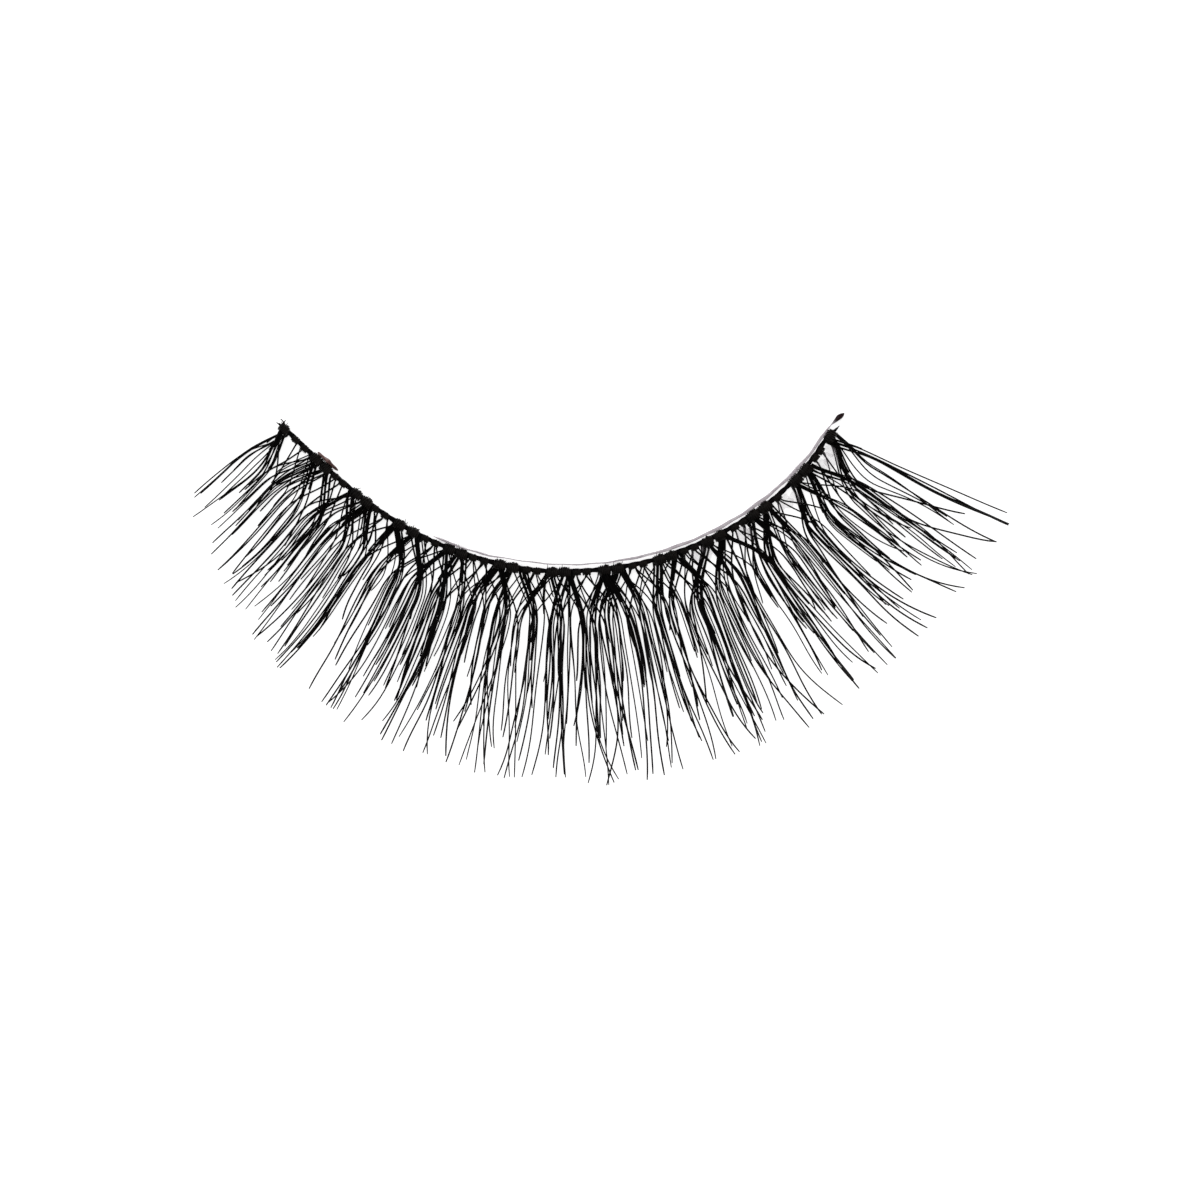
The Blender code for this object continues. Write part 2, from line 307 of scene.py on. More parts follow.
# The fibres, with no roughness of their own where it follows the grain.
fibres = {
    "lashFibre": {"root": (0.0010, 0.0009, 0.0010, 1), "tip": (0.003, 0.002, 0.002, 1),
                  "grain": 9000.0, "bump": 0.2, "gloss": 0.05},
    "woundFibre": {"root": (0.001, 0.001, 0.001, 1), "tip": (0.012, 0.009, 0.008, 1),
                   "grain": 12000.0, "bump": 0.35, "gloss": 0.14, "rough": 0.4},
    "cordCotton": {"root": (0.001, 0.001, 0.001, 1), "tip": (0.004, 0.003, 0.004, 1),
                   "grain": 15000.0, "bump": 0.6, "gloss": 0.05, "rough": 0.7},
}


def strandToneGroup():
    # Colour and roughness of one strand: root to tip colour by share, lightened by the strand's own tone,
    # with fine streaks from a noise on the object's place.
    group, given, result = newGroup("strandTone", (
        ("Share", "Float", 0.0), ("Tone", "Float", 0.5), ("Root Colour", "Color", (0.004, 0.004, 0.004, 1)),
        ("Tip Colour", "Color", (0.010, 0.008, 0.007, 1)), ("Grain Size", "Float", 4000.0),
    ), (("Colour", "Color"), ("Roughness", "Float"), ("Height", "Float")))
    grain = grainNode(group, given["Grain Size"], strandLook["grainDetail"])
    along = mixColours(group, given["Share"], given["Root Colour"], given["Tip Colour"])
    lift = mathNode(group, "MULTIPLY", given["Tone"], grain)
    rough = mathNode(group, "MULTIPLY", grain, strandLook["roughRange"])
    feed(group, result["Colour"], mixColours(group, lift, along, given["Tip Colour"]))
    feed(group, result["Roughness"], mathNode(group, "ADD", rough, strandLook["roughness"], clamp=True))
    feed(group, result["Height"], grain)
    return group


strandTone = strandToneGroup()


def strandMaterial(name, root, tip, grain, bump, gloss, rough=None):
    values = {"Root Colour": root, "Tip Colour": tip, "Grain Size": grain}
    return groupMaterial(name, strandTone, values, bump, strandLook["reliefDepth"], gloss, rough)


lashFibre, woundFibre, cordCotton = (strandMaterial(name, **look) for name, look in fibres.items())
print("fibre materials made")


# The lashes

lash = {
    "seed": 100,
    "thickness": 0.076 * mm,  # where it is free of its knot
    "thicknessRange": (0.84, 1.22),  # of that, from hair to hair
    # steps along the cord, thickness of the hairs there: they are finer at the left end
    "thinning": ((0, 0.92), (120, 0.92), (180, 1.0), (634, 1.0)),
    "rootSwell": 0.12,  # how much thicker it is in its knot
    "rootReach": 46.0,  # steps out where that ends
    "tipShare": 0.03,  # of its length over which the tip gets thinner
    "tipEnd": 1.01,  # share of the length at which it would be down to nothing
    "tipThickness": 0.6,  # what it keeps, before rounding
    "tipRound": 0.6,
    "stretch": 1.006,  # of all hairs
    "sides": 6,
    "samples": 28,
    "slantStart": 3.0,  # steps out where a lash starts to run slantwise from its knot
    "bendStart": (14.0, 30.0),  # steps out where it starts to turn outwards
    "bendLength": (30.0, 44.0),  # and how much further out it points straight out
    "bendScatter": 4.0,  # by which both differ between the hairs of a strap
    "laneAt": 60.0,  # steps out where the chart gives the lane
    "farAt": 100.0,  # and the far column
    "slopeHalf": 10.0,  # half the stretch round the lane's place over which the slope sets in
    "longReach": 105.0,  # a hair that ends sooner runs straight from its lane to its tip
    "shortRun": 15.0,  # over so many steps at least
    "strapJump": 2.5,  # steps between roots at which another strap of hairs starts
    "strapGap": 3.5,  # and between lanes
    # how wide a strap is at its root against its lanes, most at the left: steps along, share
    "rootShare": ((0, 0.8), (110, 0.9), (160, 0.65), (634, 0.55)),
    "fanStart": 16.0,  # steps out where it starts to open
    "fanEnd": 52.0,  # and where it has its full width
    "rootSpread": 1.6,  # steps to either side that the straps shift on a knot
    # the hairs in a strap shift further, most at the left: steps along, shift
    "rootScatter": ((0, 4.0), (110, 4.2), (180, 2.2), (634, 1.7)),
    "innerReach": 5.5,  # steps from a cluster's middle; nearer lashes leave on the inner side
    "crossOver": 4.5,  # how much further back those start, so that they cross
    "hookStart": 85.0,  # steps out where its tip starts to curve sideways
    "bunchSpacing": 1.3,  # steps between the roots of the hairs of one row
    "closing": 0.6,  # of that which is gone where the strap is open
    "extraReach": (20.0, 46.0),  # steps out where the further hairs of a row end
    "extraShare": 0.8,  # of the row's reach that they don't pass
    "wave": 0.75,  # steps that a hair sways to either side
    "waves": (0.8, 2.2),  # how often
    "waveSteps": 200.0,  # in so many steps
    "layer": 0.15 * mm,  # that lashes going right lie over those going left
    "layerScatter": 0.09 * mm,
    "curlScatter": 0.05,
}


# The hair chart. Each row is a bunch of hairs, in steps: where it leaves the knot along the cord, its lane,
# which is where it is at 60 out, how far it has drifted from there at 100 out and at its tip, how far out the
# tip is, and how many hairs if more than one.
lashChart = {
    "lash_cluster_01": (
        (-3, -15.5, -3, -4, 108), (-2, -14, -2.5, -3, 111), (-2, -12.5, -3, -3.5, 104), (-1, -7, -1, -1, 65),
        (0, -7.5, 0, 0, 82), (0, -0.5, -2, -3, 111, 2), (2, 4.5, -1.5, -1.5, 92, 2),
        (3, 8.5, -7.5, -13.5, 126, 2), (3, 8, -4, -5, 96, 2), (4, 13.5, 0.5, 0.5, 65, 2), (4, 13, -1, -1, 77),
        (5, 17, -3, -3, 102), (5, 18, -2, -4.5, 119, 2), (5, 19.5, 0.5, 0.5, 89, 2),
    ),
    "lash_cluster_02": (
        (40, 21, -1.5, -2, 95), (40, 23.5, -1.5, -3, 117, 2), (39, 28.5, -0.5, -1.5, 131),
        (42, 30, 0, -0.5, 83), (43, 31, 0, -0.5, 103), (44, 32, 1.5, 1.5, 140, 2), (46, 34, 0, -1, 125),
        (50, 36, -1, -2, 112), (50, 38, 0, 0, 76, 2), (53, 45, 1.5, 1, 88), (54, 47.5, 2, -0.5, 147),
        (55, 49, 1, -0.5, 143), (46, 54.5, 3, 3.5, 104), (46, 57.5, 1.5, -0.5, 120), (47, 62, 1, -2, 128),
        (47, 63.5, 0.5, -4, 140), (48, 65.5, 0, -7, 153, 2), (60, 82, 1, 1, 86), (60, 85, -0.5, -2, 131),
        (61, 86, -0.5, -1, 158), (61, 87.5, 1, 0.5, 98), (62, 89.5, 1, 1.5, 116), (62, 88.5, 1.5, 1.5, 105),
    ),
    "lash_cluster_03": (
        (91, 71, 1, 0, 156), (91, 71.5, 1, 0.5, 120), (93, 79, -2, -12, 143), (92, 74, 1, 1, 158),
        (93, 77, 3, 0.5, 163, 2), (93, 79, 2, 1, 120, 2), (103, 88, 2, 2, 96), (103, 90, 0, -0.5, 85),
        (104, 95.5, 0.5, -5.5, 150), (104, 96, 0.5, 0.5, 150), (105, 97.5, 0.5, 0, 158),
        (105, 99, 0.5, 0, 120), (107, 101, 1, -1, 140), (107, 102, 0.5, 0.5, 173, 2),
        (108, 103.5, 0.5, 1, 176, 2), (99, 109.5, 2, 2.5, 107), (100, 114, 0, -9, 172, 2),
        (100, 115.5, -0.5, -1.5, 130), (101, 117, -0.5, -3, 150), (101, 118.5, -0.5, -5.5, 170, 2),
        (101, 120, -1, -1.5, 175), (101, 121.5, -0.5, -2.5, 130), (113, 126, 0.5, 1, 103, 2),
        (114, 129.5, 0.5, -5, 180), (114, 131, 0, -4, 181), (115, 133, 1, -3.5, 185, 2),
        (115, 134.5, 0.5, -3, 165, 3),
    ),
    "lash_cluster_04": (
        (146, 136, 0.5, -3.5, 158, 3), (146, 137.5, 0.5, -4, 145, 2), (145, 139.5, -0.5, -9.5, 184),
        (146, 141, 0, -4, 140), (160, 150.5, 1.5, 4.5, 186), (160, 151.5, 1.5, 2, 97),
        (161, 152.5, 0.5, 0.5, 96), (162, 154, 3, 3, 121, 2), (163, 156, 1.5, 3.5, 148, 2),
        (153, 165.5, 2.5, 5.5, 150), (154, 170, 1, -5, 191, 2), (154, 171.5, 0.5, -2, 192),
        (155, 173, 0, -1.5, 192, 2), (155, 174.5, 0, -1, 192), (156, 175.5, -0.5, 0.5, 191, 2),
        (170, 190, -1, -3.5, 130), (170, 191.5, -0.5, -4.5, 165), (171, 193, 0, -10, 199, 2),
        (171, 194.5, -0.5, -4.5, 150, 2), (172, 196, 0, -6, 165), (172, 198, 0, 0, 150, 2),
        (172, 200, 1, 1, 115),
    ),
    "lash_cluster_05": (
        (201, 169.5, 0.5, 0.5, 87), (200, 181, 0, -12, 191), (200, 181.5, -0.5, -0.5, 98),
        (200, 183.5, 0, 0, 95, 2), (201, 186.5, -1.5, -4, 133), (201, 187.5, -1.5, -5, 150),
        (201, 189, -1.5, -6.5, 172), (211, 204, -0.5, -11, 190, 2), (212, 204.5, 1.5, 3.5, 145),
        (213, 208, 1.5, 1, 150), (214, 209.5, 0.5, -2, 160), (207, 212, 2.5, 2, 110),
        (207, 213.5, 0, -8, 183), (208, 215, 0, -7.5, 196), (208, 216.5, -0.5, -7.5, 201, 2),
        (208, 218, -0.5, -7, 160), (209, 219, -0.5, -2.5, 201), (209, 220.5, -0.5, -4.5, 140),
        (209, 223.5, -0.5, -2, 123), (222, 228.5, 1.5, 0.5, 120), (222, 231.5, -2.5, -12.5, 192, 3),
        (223, 233, -2, -7.5, 161), (223, 234.5, -2.5, -9.5, 204),
    ),
    "lash_cluster_06": (
        (254, 236.5, -3.5, 3.5, 200), (254, 237, -2, -5, 125, 2), (254, 238.5, -2, -2.5, 150),
        (255, 240, -1.5, -2.5, 155, 2), (255, 242.5, -0.5, -6.5, 200, 2), (256, 243, 0, 1.5, 181),
        (256, 243.5, 0, 7.5, 197), (256, 247, 1.5, 1.5, 103, 2), (266, 252.5, 0.5, 7.5, 142),
        (266, 254.5, 2, -2.5, 203, 2), (267, 256, 1, 0, 150), (268, 262, 3.5, 8.5, 207),
        (268, 263, 2, 15, 205), (268, 264, 2, 15, 179), (268, 264.5, 1.5, 7.5, 160, 2),
        (262, 270, -6, -20, 162), (262, 271, -5, -16, 170), (263, 273.5, -0.5, -2.5, 125, 3),
        (264, 275, -0.5, 6, 180), (264, 276.5, -4.5, -15, 203), (277, 294.5, 0, -10, 206, 2),
        (277, 295.5, 0.5, -6, 208, 2), (278, 296.5, 0.5, -1.5, 171, 2), (278, 297.5, 1, 0.5, 122, 2),
        (279, 299, 1, 2.5, 136), (279, 301, 0, -4, 189),
    ),
    "lash_cluster_07": (
        (306, 280, 2.5, 13, 206), (306, 284.5, 3, 10.5, 206), (307, 285.5, 2, 2, 103, 3),
        (307, 305.5, -0.5, -6, 205, 2), (317, 310, 1, -4, 202, 2), (317, 311, 0, -0.5, 130, 2),
        (318, 313, 1.5, 1.5, 146), (318, 315, 1, -1.5, 181, 2), (318, 316.5, 0, -1, 165),
        (314, 318.5, 2.5, 8, 203, 2), (314, 319.5, 2, 5.5, 200), (315, 321.5, -0.5, -2.5, 194),
        (315, 322.5, -2.5, -6, 150), (315, 323, 0.5, -2.5, 203), (328, 327.5, -1, -2.5, 200, 2),
        (328, 328.5, -1.5, -2.5, 150), (327, 329, 2, 8.5, 203), (329, 339, -2.5, -7, 172),
        (329, 340, -2.5, -9, 152), (330, 340.5, -1, -1.5, 115), (330, 341, 0, 13, 210, 2),
        (330, 342, -0.5, 15.5, 207),
    ),
    "lash_cluster_08": (
        (359, 343.5, -1, 1.5, 135, 2), (359, 345, -0.5, -0.5, 130), (360, 348, 0.5, -8.5, 209),
        (360, 349.5, 0.5, 1.5, 212), (360, 350.5, -0.5, -1.5, 165), (370, 352, 2, 10.5, 203, 2),
        (370, 353, 1.5, -1, 175), (370, 354.5, 3.5, 5, 117), (371, 358, 3, 11.5, 200),
        (371, 361, 1.5, -10, 212, 2), (372, 362.5, 1, 6.5, 200), (367, 366.5, 1, -2.5, 150),
        (367, 369, -1, -3, 130), (367, 371, -0.5, -2, 168), (367, 373.5, 0.5, -1, 189, 2),
        (368, 379.5, 1.5, -5.5, 211), (368, 381, 1, 1.5, 120, 2), (368, 382.5, 1, 1, 118, 2),
        (369, 384, 0.5, -5.5, 206), (369, 385.5, 0, -1.5, 115), (381, 390, -1, -4.5, 209, 2),
        (381, 391.5, 0, 0, 203, 2), (382, 393.5, 0.5, 5, 207), (382, 395, 1, 0, 135, 2),
        (382, 397, 0.5, -4.5, 199), (383, 399, 0.5, -9.5, 182),
    ),
    "lash_cluster_09": (
        (415, 401.5, 1, 4.5, 152), (415, 403.5, 2.5, 9.5, 184), (416, 405, 2.5, 8, 180),
        (416, 406.5, 2.5, 11, 205), (416, 408, 2.5, 2.5, 117), (417, 411, 5.5, 7.5, 205, 2),
        (418, 412, 5, 4.5, 150, 2), (427, 416.5, 1.5, 15.5, 206, 2), (427, 418, 1, 17, 205, 2),
        (427, 420.5, -4.5, -4.5, 130, 2), (423, 424.5, 2, 2, 97), (423, 426.5, 1, 1, 96),
        (423, 428, 0.5, 0.5, 99), (430, 441, -1, -3.5, 170), (437, 446.5, -0.5, -3.5, 188),
        (437, 449.5, 0, -2.5, 206, 2), (438, 450.5, -0.5, -1, 203, 2), (438, 452, -1, -3.5, 180, 2),
        (439, 454.5, -1, -2, 195), (439, 455, -2, 2, 177),
    ),
    "lash_cluster_10": (
        (465, 431.5, 1, 15, 198), (465, 433, -3, -9, 151), (466, 435, 1, 1, 116), (466, 437, 1, 1, 170),
        (466, 439.5, 2.5, 3, 160, 2), (467, 442.5, 1.5, 8, 206, 2), (467, 444, -0.5, 1, 165),
        (467, 443, 2, 11, 183), (479, 460, 2, 1.5, 189), (479, 461.5, 1, 1, 125, 2),
        (479, 463, 1.5, 15.5, 209, 2), (480, 465, 1, 5, 150, 2), (480, 467, 1.5, 1.5, 122, 2),
        (481, 471, 3, 3, 141), (474, 475, -1, 15, 204), (474, 476.5, 1, 1.5, 162), (474, 478, -0.5, 1, 150),
        (476, 483.5, -2, -4.5, 180, 2), (476, 484.5, -2.5, -2, 203, 2), (476, 485.5, -2.5, -4.5, 140),
        (488, 486.5, 0.5, 2.5, 203), (488, 488, -0.5, 14, 205, 2), (489, 508, 1, 4, 130, 2),
        (489, 509.5, 0.5, 4.5, 150, 2), (490, 511, 0.5, 4.5, 188, 2), (490, 512.5, 1, 3.5, 190, 2),
        (490, 514, 0, 3, 200),
    ),
    "lash_cluster_11": (
        (519, 497, 1.5, 1.5, 90, 2), (519, 498.5, 1.5, 3.5, 168), (519, 500, -1, -1, 88),
        (520, 503.5, 3, 5, 122), (520, 505, 1, -3, 165), (520, 508, 0.5, 2, 115),
        (531, 511.5, 0, 3.5, 170, 2), (531, 513, 0, 3, 190, 2), (531, 514.5, 1.5, 8, 175),
        (532, 515, 1.5, 17, 193), (532, 516, 2.5, 3, 103), (532, 518, 3, 12.5, 198, 2),
        (532, 517.5, 5.5, 8, 118), (533, 527, 1.5, 3, 131), (533, 528, 1, 1.5, 125),
        (527, 530.5, 1, 3.5, 150, 2), (527, 531.5, 1, 4.5, 180, 2), (528, 539, -2.5, -1, 197),
        (528, 540, -3, -5, 120), (542, 541.5, 0, 3.5, 197, 2), (542, 543, -0.5, 2, 197, 2),
        (543, 544.5, 1, 1.5, 116, 2), (543, 546, 0.5, 0.5, 170, 2), (543, 547.5, 0.5, 8, 165, 2),
        (544, 548, -0.5, 0.5, 186),
    ),
    "lash_cluster_12": (
        (574, 553.5, -4, -4.5, 115), (574, 555.5, 1.5, 8.5, 195), (575, 557, 1, 7, 153, 2),
        (575, 558.5, 1.5, 13, 195, 2), (576, 561, 0.5, 11.5, 185, 2), (576, 562, 1, 6, 162, 2),
        (576, 563, 1, 16.5, 194), (576, 564, 1.5, 8.5, 158), (587, 572.5, 3.5, 5, 113, 2),
        (587, 573.5, 4, 6.5, 128), (587, 575, 4.5, 10.5, 150), (588, 576.5, 5, 20, 191),
        (588, 578, 4, 23, 195, 2), (588, 579, 4, 11, 150), (589, 585, -1, 1, 120, 2),
        (589, 585.5, 4.5, 9.5, 126), (582, 591, 1.5, 3, 132, 2), (583, 593.5, 1, 2.5, 148, 2),
        (583, 594.5, 1.5, 1, 115, 3), (597, 601, 0.5, 0.5, 118), (597, 603, 3, 3.5, 175),
        (598, 609, 1, 1.5, 190), (598, 610, 2, 19, 195, 2), (598, 611.5, 0.5, 1.5, 168, 2),
        (599, 613, -0.5, -1.5, 143), (599, 614.5, 1, 2, 187),
    ),
    "lash_cluster_13": (
        (629, 598.5, -0.5, 10, 193, 2), (629, 600, -2.5, -4, 120), (629, 602, -3, 8, 196),
        (629, 609.5, 0.5, 0.5, 175, 2), (629, 612, 0.5, -4, 190, 2), (630, 606, 0, 0, 160),
        (630, 613, 9, 20.5, 154), (631, 618.5, 4.5, 6.5, 150), (632, 624, 2.5, 2, 140),
        (633, 629, -2, 0, 195, 2), (633, 629.5, -2.5, -4.5, 148, 2), (634, 635, 0.5, 8.5, 197),
        (634, 636.5, 0.5, 7, 196, 2), (635, 638, 0.5, 5.5, 197, 2), (636, 640.5, 2.5, 13, 190, 2),
    ),
}


def curlHeight(out, radius):
    # A circle's arc: the radius less the root of its square less the squared distance from the low point.
    return radius - np.sqrt(radius ** 2 - (out - lowPoint) ** 2)


def lashPaths(rows, middle, noise):
    # In the chart: the rows of one strap run straight from the knot to a bend and by a parabola to their
    # lanes, close together at first; then a straight slope to the far column and a parabola sideways to the
    # tip. Up: a circle's arc that touches the table at the low point.
    table = np.array([(row + (1,))[:6] for row in rows], dtype=float)
    bunch = np.repeat(np.arange(len(table)), table[:, 5].astype(int))
    first = np.diff(bunch, prepend=-1) > 0
    nextStrap = ((np.abs(np.diff(table[:, 0], prepend=table[0, 0])) > lash["strapJump"])
                 | (np.abs(np.diff(table[:, 1], prepend=table[0, 1])) > lash["strapGap"]))
    strap = np.cumsum(nextStrap)
    strapRows = np.bincount(strap)
    count = len(bunch)

    def perStrap(low, high):
        return noise.uniform(low, high, len(strapRows))[strap][bunch]

    strapLeave = (np.bincount(strap, table[:, 0]) / strapRows)[strap][bunch]
    strapLane = (np.bincount(strap, table[:, 1]) / strapRows)[strap][bunch]
    _, lane, farDrift, tipDrift, reach, _ = table[bunch].T
    far, tip = lane + farDrift, lane + tipDrift
    reach = reach * lash["stretch"]
    inner = np.abs(strapLeave - middle) < lash["innerReach"]
    strapLeave = strapLeave - np.sign(strapLane - strapLeave) * inner * lash["crossOver"]
    strapLeave = strapLeave + perStrap(-1, 1) * lash["rootSpread"]
    scatter = noise.uniform(-1, 1, count) * tableAt(lash["rootScatter"], middle)

    # the first hair of a row runs on its lane to the tip, the others lie beside it and end sooner
    order = np.arange(count) - np.flatnonzero(first)[bunch]
    side = np.where(order % 2 == 1, 1, -1) * noise.choice([-1, 1], len(table))[bunch]
    beside = side * np.ceil(order / 2) * lash["bunchSpacing"]
    sooner = np.minimum(reach * lash["extraShare"], noise.uniform(*lash["extraReach"], count))
    reach = np.where(first, reach, sooner)
    tip = np.where(first, tip, far)
    pastLane = reach - lash["laneAt"]
    longOnes = reach > lash["longReach"]
    slope = np.where(longOnes, (far - lane) / (lash["farAt"] - lash["laneAt"]),
                     (tip - lane) / np.maximum(pastLane, lash["shortRun"]))
    gap = np.where(longOnes, tip - lane - slope * pastLane, 0.0)

    share = np.linspace(0, 1, lash["samples"])[None]
    out = reach[:, None] * share
    own = noise.uniform(-1, 1, (2, len(table)))[:, bunch] * lash["bendScatter"]
    bendStart = (perStrap(*lash["bendStart"]) + own[0])[:, None]
    bendEnd = bendStart + (perStrap(*lash["bendLength"]) + own[1])[:, None]
    straight = np.clip(out, lash["slantStart"], bendStart) - lash["slantStart"]
    turning = np.clip(out - bendStart, 0, bendEnd - bendStart)
    slant = straight + turning - turning ** 2 / (2 * (bendEnd - bendStart))
    slant = slant / (bendStart - lash["slantStart"] + (bendEnd - bendStart) / 2)
    opening = np.clip((out - lash["fanStart"]) / (lash["fanEnd"] - lash["fanStart"]), 0, 1)
    opening = opening ** 2 * (3 - 2 * opening)
    rootShare = tableAt(lash["rootShare"], middle)
    fan = rootShare + (1 - rootShare) * opening
    half = lash["slopeHalf"]
    past = out - (lash["laneAt"] - half)
    ramp = np.where(past < 2 * half, np.clip(past, 0, None) ** 2 / (4 * half), past - half)
    hook = np.clip(out - lash["hookStart"], 0, None) / np.maximum(reach - lash["hookStart"], 1)[:, None]
    turns = noise.uniform(*lash["waves"], len(table))[bunch][:, None]
    phase = noise.uniform(0, 1, len(table))[bunch][:, None]
    wave = np.sin(2 * np.pi * (out / lash["waveSteps"] * turns + phase))
    along = (strapLeave[:, None] + (strapLane - strapLeave)[:, None] * slant
             + (lane - strapLane)[:, None] * fan + scatter[:, None] * (1 - opening)
             + beside[:, None] * (1 - lash["closing"] * opening)
             + slope[:, None] * ramp + gap[:, None] * hook ** 2 + wave * opening * lash["wave"])

    curl = strip["curlRadius"] * (1 + noise.uniform(-1, 1, count) * lash["curlScatter"])[:, None]
    over = (strapLane > strapLeave) * lash["layer"] + noise.uniform(0, 1, count) * lash["layerScatter"]
    height = lash["thickness"] / 2 + over[:, None] + curlHeight(out * chartStep, curl)
    return seenThere(place(along * chartStep, out * chartStep, height)), share, out


def addLashes(skins, rows, middle, noise):
    paths, share, out = lashPaths(rows, middle, noise)
    nearKnot = 1 - np.clip(out / lash["rootReach"], 0, 1)
    tipTaper = np.clip((lash["tipEnd"] - share) / lash["tipShare"], lash["tipThickness"], 1)
    thick = lash["thickness"] * (1 + lash["rootSwell"] * nearKnot) * tipTaper ** lash["tipRound"]
    thick = thick * noise.uniform(*lash["thicknessRange"], len(paths))[:, None]
    thick = thick * tableAt(lash["thinning"], middle)
    skins.addTubes(paths, thick, lash["sides"], up, noise.uniform(0, 1, len(paths)))


# The knots

knot = {
    "coreRadius": 0.215 * mm,
    "windingRadius": 0.24 * mm,
    "windingThickness": 0.085 * mm,
    "halfLength": 0.36 * mm,
    "turns": 6.5,
    # the strands that cross over the windings: turns, phase, and radius and thickness against theirs
    "crossing": ((-1.3, 0.3, 1.12, 0.8), (1.1, 0.8, 1.15, 0.75)),
    "phaseScatter": 0.2,  # of a turn
    "windingShare": 0.92,  # of the knot's length that is wound
    "endFall": 0.22,  # of the radius that is gone at the ends
    "ripple": 0.05,  # of the radius by which it wavers
    "ripples": 40,  # radians of that from end to end
    "endThickness": 0.35,  # of a winding strand at its ends
    "endRate": 12,  # one part in so many of it is thinner
    "sides": 6,
    "perTurn": 18,
    "leanShare": 0.6,  # of the cord's lean that a knot follows
    "shift": 0.035 * mm,  # that it sits further out
    "barrelShare": 1.02,  # of the knot's length
    "barrelEnd": 0.999,  # of the way to its end where it closes
    "barrelUneven": 0.04,
    "barrelSamples": 15,
    "barrelSides": 12,
    "barrelTone": 0.3,
}


def addKnot(skins, at, scale, noise):
    # Windings as a helix whose radius falls with the fourth power of the place towards both ends, two strands
    # that cross over it slantwise, and the barrel that they lie on.
    lean = leanAt(at) * knot["leanShare"] + knot["shift"]
    share = np.linspace(0, 1, int(knot["perTurn"] * knot["turns"]))
    heading = np.interp(at, course[0], course[3])
    axis = np.array([np.cos(heading), np.sin(heading), 0.0])
    across = (2 * share - 1) * knot["halfLength"] * scale * knot["windingShare"]
    inside = np.clip(np.minimum(share, 1 - share) * knot["endRate"], 0, 1)
    ending = knot["endThickness"] + (1 - knot["endThickness"]) * inside
    for turns, phase, lift, thin in ((knot["turns"], 0.0, 1.0, 1.0),) + knot["crossing"]:
        swell = (1 - knot["endFall"] * (2 * share - 1) ** 4) * knot["windingRadius"] * scale * lift
        swell = swell * (1 + knot["ripple"] * np.sin(share * knot["ripples"] + noise.uniform(0, 6)))
        turn = 2 * np.pi * (share * turns + phase + noise.uniform(0, knot["phaseScatter"]))
        thick = knot["windingThickness"] * scale * thin * ending
        rise = np.maximum(strip["cordHeight"] + swell * np.sin(turn), thick / 2)
        path = place(at + across, lean + swell * np.cos(turn), rise)
        skins.addTubes(path[None], thick[None], knot["sides"], axis, noise.uniform(0, 1))
    addBarrel(skins, at, lean, scale, noise)


def addBarrel(skins, at, lean, scale, noise):
    # A closed barrel along the cord: radius times the root of 1 minus the sixth power of the place along it.
    across = np.linspace(-knot["barrelEnd"], knot["barrelEnd"], knot["barrelSamples"])
    halfLength = knot["halfLength"] * scale * knot["barrelShare"]
    path = place(at + across * halfLength, lean, strip["cordHeight"])
    uneven = 1 + noise.uniform(-knot["barrelUneven"], knot["barrelUneven"], len(across))
    thick = 2 * (knot["coreRadius"] * scale) * np.sqrt(1 - across ** 6) * uneven
    skins.addTubes(path[None], thick[None], knot["barrelSides"], up, knot["barrelTone"])


stub = {
    "count": 7,
    "length": 0.22 * mm,
    "lengthRange": (0.5, 1.2),
    "turn": (-0.25, 1.2),  # half turns round the cord between which they stand
    "spread": 0.9,  # to either side, of half a knot's length
    "lean": 0.7,  # along the cord, against their length
    "bow": 0.4,
    "rootShare": 0.8,  # of the windings' radius
    "lowest": 0.02 * mm,
    "thickness": 0.6,  # of a lash's
    "taper": 0.5,
    "samples": 6,
    "sides": 5,
    "reference": (0.3, 0.2, 1.0),
    "tone": 0.6,
}


def addStubs(skins, at, scale, noise):
    # Cut ends of fibre that stand out of a knot, each a short straight strand that leans more and more.
    count = stub["count"]
    turn = noise.uniform(*stub["turn"], count) * np.pi
    root = at + noise.uniform(-stub["spread"], stub["spread"], count) * knot["halfLength"] * scale
    lean = noise.uniform(-stub["lean"], stub["lean"], count)
    share = np.linspace(0, 1, stub["samples"])[None]
    long = stub["length"] * noise.uniform(*stub["lengthRange"], count)[:, None]
    radius = knot["windingRadius"] * scale * stub["rootShare"] + long * share
    along = root[:, None] + lean[:, None] * long * share * (1 - stub["bow"] + stub["bow"] * share)
    rise = np.maximum(strip["cordHeight"] + radius * np.cos(turn)[:, None], stub["lowest"])
    paths = place(along, -radius * np.sin(turn)[:, None], rise)
    thick = lash["thickness"] * stub["thickness"] * (1 - stub["taper"] * share) + np.zeros((count, 1))
    skins.addTubes(paths, thick, stub["sides"], np.array(stub["reference"]), stub["tone"])


fray = {
    "thickness": 0.10 * mm,
    "taper": 0.55,
    "samples": 9,
    "tone": 0.5,
    # steps: start along, start out, end along, end out, bow; how far it rises in mm
    "strands": ((-3, -1, -9.5, -4.5, 1.2, 0.15), (-3, 2, -10, 1.0, 0.8, 0.05),
                (-2, -3, -5, -7.0, -0.8, 0.10)),
}


def addFray(skins):
    # The frayed end of the cord past the first knot: strands from one point to another, bowed by a sine.
    table = np.array(fray["strands"]).T[:, :, None]
    share = np.linspace(0, 1, fray["samples"])[None]
    bow = table[4] * np.sin(np.pi * share)
    paths = place((table[0] + (table[2] - table[0]) * share + bow) * chartStep,
                  (table[1] + (table[3] - table[1]) * share - bow) * chartStep,
                  strip["cordHeight"] + table[5] * mm * share)
    thick = fray["thickness"] * (1 - fray["taper"] * share) + np.zeros((len(paths), 1))
    skins.addTubes(paths, thick, lash["sides"], up, fray["tone"])


